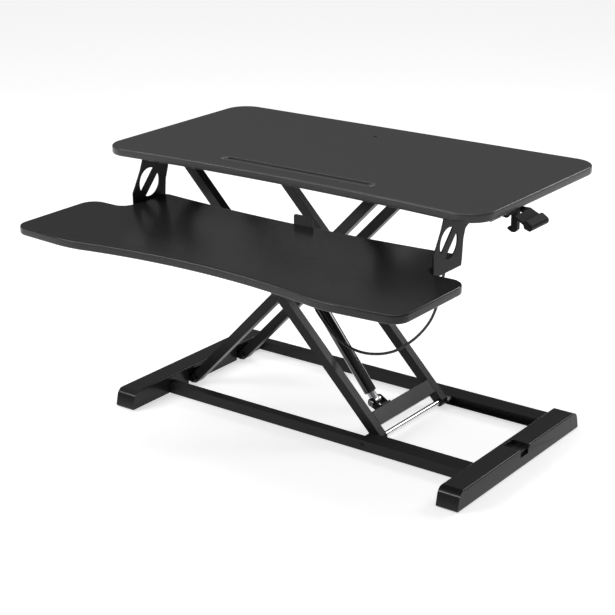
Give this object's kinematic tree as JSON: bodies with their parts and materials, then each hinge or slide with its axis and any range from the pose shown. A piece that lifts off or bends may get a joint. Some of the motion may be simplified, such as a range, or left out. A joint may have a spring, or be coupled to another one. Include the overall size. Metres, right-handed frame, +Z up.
{
  "type": "standing desk converter",
  "caption": "Height-adjustable desktop riser with a scissor lift, gas spring, release lever, base frame and lower keyboard tray.",
  "frame": {"origin": "middle of the footprint's bounding box, on the surface it stands on", "axes": "+X along the desktop's long side to the user's right, +Y away from the user, +Z up"},
  "size_m": [0.838, 0.6398, 0.5084],
  "materials": {
    "desk_top": "satin fine-grain charcoal laminate",
    "tray_top": "satin fine-grain black laminate",
    "painted_tube": "satin black powder coat",
    "painted_plate": "satin black powder coat",
    "foot_plastic": "semi-gloss black plastic",
    "black_plastic": "matt black plastic",
    "grey_plastic": "matt dark grey plastic",
    "chrome": "polished chrome plate",
    "zinc": "bright zinc plate",
    "black_oxide": "black oxide steel",
    "cylinder_paint": "gloss black paint",
    "white_nylon": "natural nylon",
    "rubber": "matt black rubber"
  },
  "bodies": {
    "base": {"left_foot": "foot_plastic", "right_foot": "foot_plastic", "foot_end_caps": "foot_plastic", "foot_beams": "painted_plate", "rubber_pads": "rubber", "front_rail": "painted_tube", "rear_rail": "painted_tube", "front_track": "painted_tube", "rear_track": "painted_tube", "base_pivot_ears": "painted_plate", "base_pivot_bolts": "black_oxide", "rail_screws": "black_oxide"},
    "inner_frame": {"front_inner_arm": "painted_tube", "rear_inner_arm": "painted_tube", "inner_cross_tube": "painted_tube", "inner_arm_bushes": "black_plastic", "centre_bolts": "black_oxide", "upper_axle": "chrome", "spring_bracket": "painted_plate"},
    "upper_front_wheel": {"upper_front_roller": "white_nylon"},
    "upper_rear_wheel": {"upper_rear_roller": "white_nylon"},
    "outer_frame": {"front_outer_arm": "painted_tube", "rear_outer_arm": "painted_tube", "outer_arm_bushes": "black_plastic", "lower_cross_tube": "painted_tube", "spring_clevis": "painted_plate", "clevis_pin": "chrome", "lower_axle": "chrome"},
    "lower_front_wheel": {"lower_front_roller": "white_nylon"},
    "lower_rear_wheel": {"lower_rear_roller": "white_nylon"},
    "spring_cylinder": {"gas_cylinder": "cylinder_paint", "cylinder_eye": "zinc"},
    "spring_rod": {"gas_rod": "chrome", "release_head": "black_plastic", "head_pin": "zinc"},
    "trigger": {"release_trigger": "black_oxide"},
    "platform": {"desktop": "desk_top", "device_slot": "grey_plastic", "slot_screws": "zinc", "cable_port_plug": "black_plastic", "front_desk_track": "painted_tube", "rear_desk_track": "painted_tube", "desk_pivot_brackets": "painted_plate", "desk_pivot_bolts": "black_oxide", "left_tray_hanger": "painted_plate", "right_tray_hanger": "painted_plate", "hanger_screws": "black_oxide", "keyboard_tray": "tray_top", "tray_stop": "grey_plastic", "lever_housing": "black_plastic", "lever_pin": "zinc", "lever_spring": "zinc", "release_cable": "rubber", "cable_ends": "zinc", "bag_hook": "black_plastic", "hook_screws": "black_oxide"},
    "lever": {"release_lever": "black_plastic"}
  },
  "joints": [
    {"name": "lift_fold", "type": "hinge", "parent": "base", "child": "inner_frame", "pos_m": [-0.349, 0.15075, 0.013], "axis": [0, 1, 0], "range_deg": [0, 35.75], "deforming": ["release_cable"]},
    {"name": "scissor_pivot", "type": "hinge", "parent": "inner_frame", "child": "outer_frame", "pos_m": [-0.1209, 0.15075, 0.2482], "axis": [0, 1, 0], "range_deg": [-71.5, 0]},
    {"name": "desk_pivot", "type": "hinge", "parent": "outer_frame", "child": "platform", "pos_m": [-0.349, 0.15075, 0.4834], "axis": [0, 1, 0], "range_deg": [0, 35.75]},
    {"name": "upper_front_roll", "type": "hinge", "parent": "inner_frame", "child": "upper_front_wheel", "pos_m": [0.1072, 0.0575, 0.4834], "axis": [0, 1, 0], "continuous": true},
    {"name": "upper_rear_roll", "type": "hinge", "parent": "inner_frame", "child": "upper_rear_wheel", "pos_m": [0.1072, 0.2435, 0.4834], "axis": [0, 1, 0], "continuous": true},
    {"name": "lower_front_roll", "type": "hinge", "parent": "outer_frame", "child": "lower_front_wheel", "pos_m": [0.1072, 0.0285, 0.013], "axis": [0, 1, 0], "continuous": true},
    {"name": "lower_rear_roll", "type": "hinge", "parent": "outer_frame", "child": "lower_rear_wheel", "pos_m": [0.1072, 0.2725, 0.013], "axis": [0, 1, 0], "continuous": true},
    {"name": "spring_eye", "type": "hinge", "parent": "outer_frame", "child": "spring_cylinder", "pos_m": [0.05785, 0.1055, 0.0524], "axis": [0, 1, 0], "range_deg": [0, 5.5]},
    {"name": "spring_stroke", "type": "slide", "parent": "spring_cylinder", "child": "spring_rod", "axis": [-0.6174, 0, 0.7867], "range_m": [-0.042, 0]},
    {"name": "trigger_pull", "type": "hinge", "parent": "spring_rod", "child": "trigger", "pos_m": [-0.11877, 0.1055, 0.27016], "axis": [0, 1, 0], "range_deg": [0, 10]},
    {"name": "lever_squeeze", "type": "hinge", "parent": "platform", "child": "lever", "pos_m": [0.355, 0.0555, 0.4788], "axis": [0, -1, 0], "range_deg": [0, 8.5], "stiffness_Nm_per_rad": 0.6, "springref_deg": -8.59}
  ],
  "couplings": [
    {"joint": "scissor_pivot", "follows": "lift_fold", "ratio": -2},
    {"joint": "desk_pivot", "follows": "lift_fold", "ratio": 1},
    {"joint": "spring_eye", "follows": "lift_fold", "ratio": 0.1353},
    {"joint": "spring_stroke", "follows": "lift_fold", "m_per_rad": -0.06177}
  ]
}
